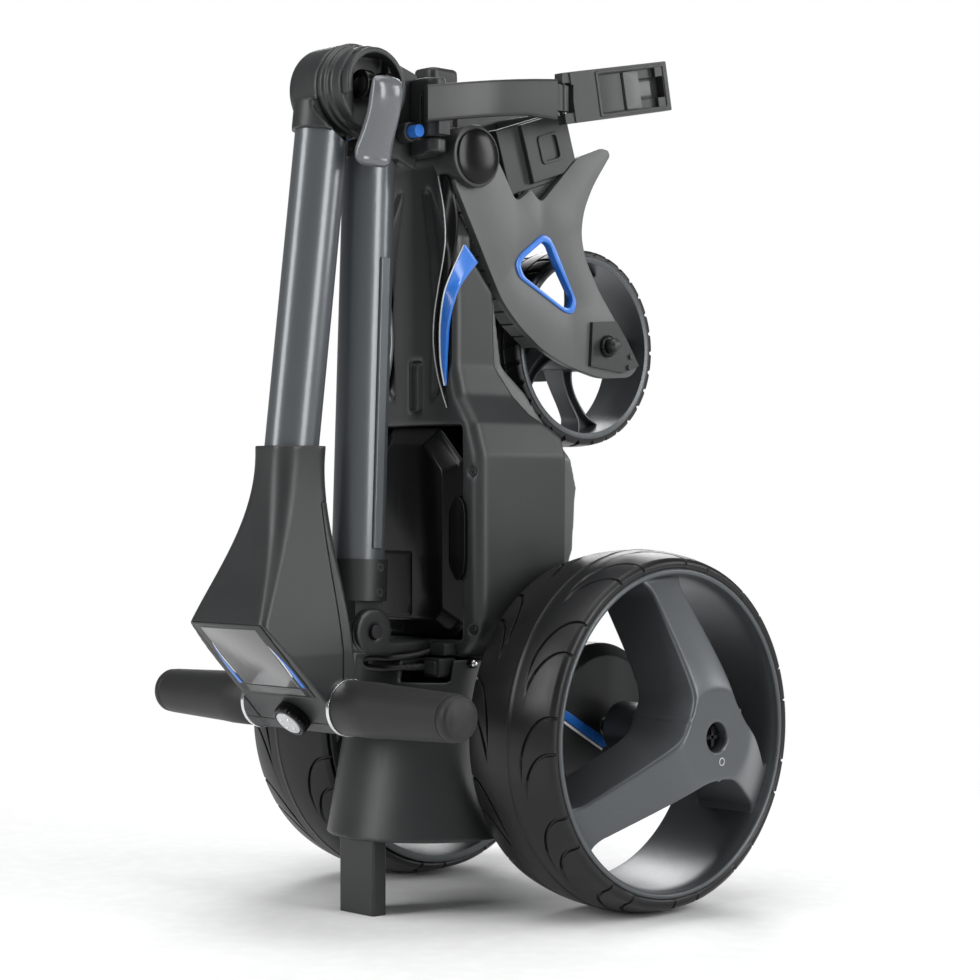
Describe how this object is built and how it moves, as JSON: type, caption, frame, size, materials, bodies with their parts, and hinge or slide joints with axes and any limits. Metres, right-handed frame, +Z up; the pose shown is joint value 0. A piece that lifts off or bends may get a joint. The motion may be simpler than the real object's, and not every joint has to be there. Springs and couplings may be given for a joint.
{
  "type": "electric golf trolley",
  "caption": "Folding electric golf bag trolley, standing folded on its rear wheels and foot, with a shaft and handle, screen, speed dial, battery, front fork and bag supports.",
  "frame": {"origin": "middle of the stand foot's sole, on the floor, on the trolley's middle plane; the trolley is folded and stands upright", "axes": "+Z up; +X to the trolley's right side, along the rear axle; -Y to the side of the handle, +Y to the side of the front wheel"},
  "size_m": [0.4134, 0.412, 0.6402],
  "materials": {
    "graphite_paint": "satin",
    "charcoal_plastic": "matte",
    "satin_grey_plastic": "satin",
    "gloss_black": "gloss",
    "tyre_rubber": "matte",
    "grip_rubber": "matte",
    "rim_graphite": "satin",
    "accent_blue": "satin",
    "bright_metal": "polished",
    "steel": "brushed",
    "lever_grey": "gloss",
    "silver_plastic": "satin",
    "screen_grey": "gloss",
    "board_green": "matte",
    "motor_alloy": "satin",
    "gear_brass": "machined"
  },
  "bodies": {
    "chassis": {"chassis_frame": "charcoal_plastic", "gloss_strips": "gloss_black", "accent_stripes": "accent_blue", "underside_cover": "satin_grey_plastic", "rear_cover": "charcoal_plastic", "stand_foot": "charcoal_plastic", "fork_pivot_pin": "steel", "base_hinge_pin": "steel", "chassis_screws": "steel", "battery_case": "gloss_black", "battery_lid": "gloss_black", "battery_cells": "motor_alloy", "battery_lead": "charcoal_plastic", "axle_housing": "charcoal_plastic", "axle_bearings": "steel", "motor_case": "motor_alloy", "gearbox_case": "motor_alloy", "controller_board": "board_green"},
    "driven_axle": {"axle_shaft": "steel", "drive_gear": "gear_brass"},
    "rotor": {"motor_rotor": "steel"},
    "wheel_right": {"rear_rim_right": "rim_graphite", "rear_tyre_right": "tyre_rubber"},
    "wheel_left": {"rear_rim_left": "rim_graphite", "rear_tyre_left": "tyre_rubber"},
    "hub_release_right": {"hub_button_right": "gloss_black"},
    "hub_release_left": {"hub_button_left": "gloss_black"},
    "lower_shaft": {"lower_tube": "graphite_paint", "base_socket": "charcoal_plastic", "socket_screws": "steel", "top_hinge_head": "charcoal_plastic", "hinge_bolt": "steel", "bag_cradle": "charcoal_plastic"},
    "upper_shaft": {"upper_tube": "graphite_paint", "hinge_elbow": "charcoal_plastic", "handle_shell": "charcoal_plastic", "handle_back": "charcoal_plastic", "screen_panel": "screen_grey", "display_board": "board_green", "handle_bar": "graphite_paint", "handle_grips": "grip_rubber", "grip_rings": "bright_metal"},
    "clamp_lever": {"cam_lever": "lever_grey"},
    "support_arm_right": {"bag_arm_right": "charcoal_plastic"},
    "support_arm_left": {"bag_arm_left": "charcoal_plastic"},
    "clasp_right": {"strap_clasp_right": "charcoal_plastic"},
    "clasp_left": {"strap_clasp_left": "charcoal_plastic"},
    "arm_release_right": {"arm_button_right": "accent_blue"},
    "arm_release_left": {"arm_button_left": "accent_blue"},
    "dial": {"dial_knob": "charcoal_plastic"},
    "dial_push": {"dial_cap": "silver_plastic"},
    "fork": {"fork_plate_right": "satin_grey_plastic", "fork_plate_left": "satin_grey_plastic", "window_trims": "accent_blue", "bag_box": "charcoal_plastic", "front_axle": "steel", "adjuster_plate": "charcoal_plastic"},
    "front_wheel": {"front_rim": "rim_graphite", "front_tyre": "tyre_rubber"},
    "tracking_dial": {"tracking_knob": "charcoal_plastic"}
  },
  "joints": [
    {"name": "shaft_fold", "type": "hinge", "parent": "chassis", "child": "lower_shaft", "pos_m": [0, -0.0065, 0.205], "axis": [1, 0, 0], "range_deg": [0, 120]},
    {"name": "handle_fold", "type": "hinge", "parent": "lower_shaft", "child": "upper_shaft", "pos_m": [0, -0.0185, 0.594], "axis": [1, 0, 0], "range_deg": [-165, 0]},
    {"name": "fork_fold", "type": "hinge", "parent": "chassis", "child": "fork", "pos_m": [0, 0.0675, 0.551], "axis": [1, 0, 0], "range_deg": [0, 105]},
    {"name": "axle_drive", "type": "hinge", "parent": "chassis", "child": "driven_axle", "pos_m": [0, 0.1535, 0.1316], "axis": [1, 0, 0], "continuous": true},
    {"name": "rotor_spin", "type": "hinge", "parent": "chassis", "child": "rotor", "pos_m": [0, 0.1195, 0.1316], "axis": [1, 0, 0], "continuous": true},
    {"name": "wheel_right_spin", "type": "hinge", "parent": "chassis", "child": "wheel_right", "pos_m": [0, 0.1535, 0.1316], "axis": [1, 0, 0], "continuous": true},
    {"name": "wheel_left_spin", "type": "hinge", "parent": "chassis", "child": "wheel_left", "pos_m": [0, 0.1535, 0.1316], "axis": [1, 0, 0], "continuous": true},
    {"name": "hub_push_right", "type": "slide", "parent": "wheel_right", "child": "hub_release_right", "axis": [-1, 0, 0], "range_m": [0, 0.004]},
    {"name": "hub_push_left", "type": "slide", "parent": "wheel_left", "child": "hub_release_left", "axis": [1, 0, 0], "range_m": [0, 0.004]},
    {"name": "lever_open", "type": "hinge", "parent": "lower_shaft", "child": "clamp_lever", "pos_m": [0.034, -0.0185, 0.594], "axis": [0, -1, 0], "range_deg": [0, 110]},
    {"name": "arm_swing_right", "type": "hinge", "parent": "lower_shaft", "child": "support_arm_right", "pos_m": [0.04, 0.0345, 0.578], "axis": [0, 0, -1], "range_deg": [0, 25]},
    {"name": "arm_swing_left", "type": "hinge", "parent": "lower_shaft", "child": "support_arm_left", "pos_m": [-0.04, 0.0345, 0.578], "axis": [0, 0, 1], "range_deg": [0, 25]},
    {"name": "clasp_turn_right", "type": "hinge", "parent": "support_arm_right", "child": "clasp_right", "pos_m": [0.064, 0.1415, 0.5994], "axis": [0, 0, -1], "range_deg": [0, 60]},
    {"name": "clasp_turn_left", "type": "hinge", "parent": "support_arm_left", "child": "clasp_left", "pos_m": [-0.064, 0.1415, 0.5994], "axis": [0, 0, 1], "range_deg": [0, 60]},
    {"name": "arm_push_right", "type": "slide", "parent": "lower_shaft", "child": "arm_release_right", "axis": [-1, 0, 0], "range_m": [0, 0.003]},
    {"name": "arm_push_left", "type": "slide", "parent": "lower_shaft", "child": "arm_release_left", "axis": [1, 0, 0], "range_m": [0, 0.003]},
    {"name": "dial_turn", "type": "hinge", "parent": "upper_shaft", "child": "dial", "pos_m": [0, -0.06247, 0.1482], "axis": [0, -0.7278, -0.6858], "continuous": true},
    {"name": "dial_press", "type": "slide", "parent": "dial", "child": "dial_push", "axis": [0, 0.7278, 0.6858], "range_m": [0, 0.0015]},
    {"name": "front_wheel_spin", "type": "hinge", "parent": "fork", "child": "front_wheel", "pos_m": [0, 0.2095, 0.418], "axis": [1, 0, 0], "continuous": true},
    {"name": "tracking_turn", "type": "hinge", "parent": "fork", "child": "tracking_dial", "pos_m": [0, 0.2095, 0.418], "axis": [1, 0, 0], "range_deg": [-180, 180]}
  ],
  "couplings": [
    {"joint": "handle_fold", "follows": "shaft_fold", "ratio": -1.375},
    {"joint": "fork_fold", "follows": "shaft_fold", "ratio": 0.875},
    {"joint": "rotor_spin", "follows": "axle_drive", "ratio": -4.6583},
    {"joint": "wheel_right_spin", "follows": "axle_drive", "ratio": 1},
    {"joint": "wheel_left_spin", "follows": "axle_drive", "ratio": 1}
  ]
}
